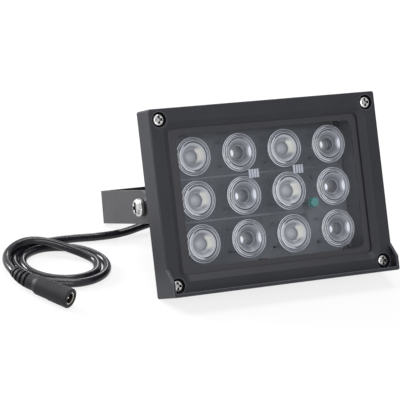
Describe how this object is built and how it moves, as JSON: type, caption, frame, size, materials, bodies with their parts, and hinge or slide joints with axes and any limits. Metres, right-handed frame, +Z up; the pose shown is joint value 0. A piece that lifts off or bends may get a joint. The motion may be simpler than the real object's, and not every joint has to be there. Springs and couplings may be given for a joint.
{
  "type": "infrared illuminator",
  "caption": "Rectangular night-vision lamp with a grid of lensed emitters behind glass, finned back, tilting U bracket and corded low-voltage socket.",
  "frame": {"origin": "the point on the surface under the middle of the lamp and its bracket, which stand on it together", "axes": "+X to the lamp's right as seen from the front, -Y the way the lamp faces, +Z up from the surface"},
  "size_m": [0.2143, 0.1152, 0.0946],
  "materials": {
    "bezel_coat": "satin black powder coat",
    "housing_coat": "satin black powder coat on die-cast metal",
    "bracket_coat": "satin black powder coat on steel strip",
    "gasket_rubber": "matte",
    "glass": "clear pane with a black printed border",
    "board": "dark solder mask",
    "thermal_film": "matte film",
    "screw_steel": "bright steel",
    "dark_screw": "blackened",
    "emitter_package": "moulded package with a clear dome",
    "lens_clear": "polished clear acrylic",
    "lens_frosted": "frosted acrylic, for the columns with a wider beam",
    "sensor_resin": "green resin",
    "ceramic": "white ceramic with tinned ends",
    "chip_package": "moulded package",
    "gland_plastic": "black nylon",
    "washer_plastic": "black nylon",
    "lead_red": "red insulation",
    "lead_black": "black insulation",
    "cord_sheath": "glossy black sheath",
    "socket_plastic": "matte black moulding",
    "socket_insulator": "black insulator",
    "contact_metal": "plated contact"
  },
  "bodies": {
    "lamp": {"front_bezel": "bezel_coat", "window_gasket": "gasket_rubber", "seat_gasket": "gasket_rubber", "gland_washer": "gasket_rubber", "gland_seal": "gasket_rubber", "front_glass": "glass", "rear_housing": "housing_coat", "led_board": "board", "heat_pad": "thermal_film", "bezel_screws": "screw_steel", "board_screws": "dark_screw", "emitter_r1c1": "emitter_package", "lens_r1c1": "lens_frosted", "emitter_r1c2": "emitter_package", "lens_r1c2": "lens_clear", "emitter_r1c3": "emitter_package", "lens_r1c3": "lens_frosted", "emitter_r1c4": "emitter_package", "lens_r1c4": "lens_clear", "emitter_r2c1": "emitter_package", "lens_r2c1": "lens_frosted", "emitter_r2c2": "emitter_package", "lens_r2c2": "lens_clear", "emitter_r2c3": "emitter_package", "lens_r2c3": "lens_frosted", "emitter_r2c4": "emitter_package", "lens_r2c4": "lens_clear", "emitter_r3c1": "emitter_package", "lens_r3c1": "lens_frosted", "emitter_r3c2": "emitter_package", "lens_r3c2": "lens_clear", "emitter_r3c3": "emitter_package", "lens_r3c3": "lens_frosted", "emitter_r3c4": "emitter_package", "lens_r3c4": "lens_clear", "light_sensor": "sensor_resin", "current_resistors": "ceramic", "control_chip": "chip_package", "gland_body": "gland_plastic", "gland_nut": "gland_plastic", "pivot_screws": "screw_steel", "lock_washers": "screw_steel", "friction_washers": "washer_plastic", "lead_positive": "lead_red", "lead_negative": "lead_black", "power_cord": "cord_sheath", "cord_coil": "cord_sheath", "cord_tail": "cord_sheath", "socket_shell": "socket_plastic", "socket_core": "socket_insulator", "socket_sleeve": "contact_metal", "socket_pin": "contact_metal"},
    "bracket": {"mounting_bracket": "bracket_coat"}
  },
  "joints": [
    {"name": "bracket_tilt", "type": "hinge", "parent": "lamp", "child": "bracket", "pos_m": [0, 0.00679, 0.03125], "axis": [1, 0, 0], "range_deg": [0, 90]}
  ]
}
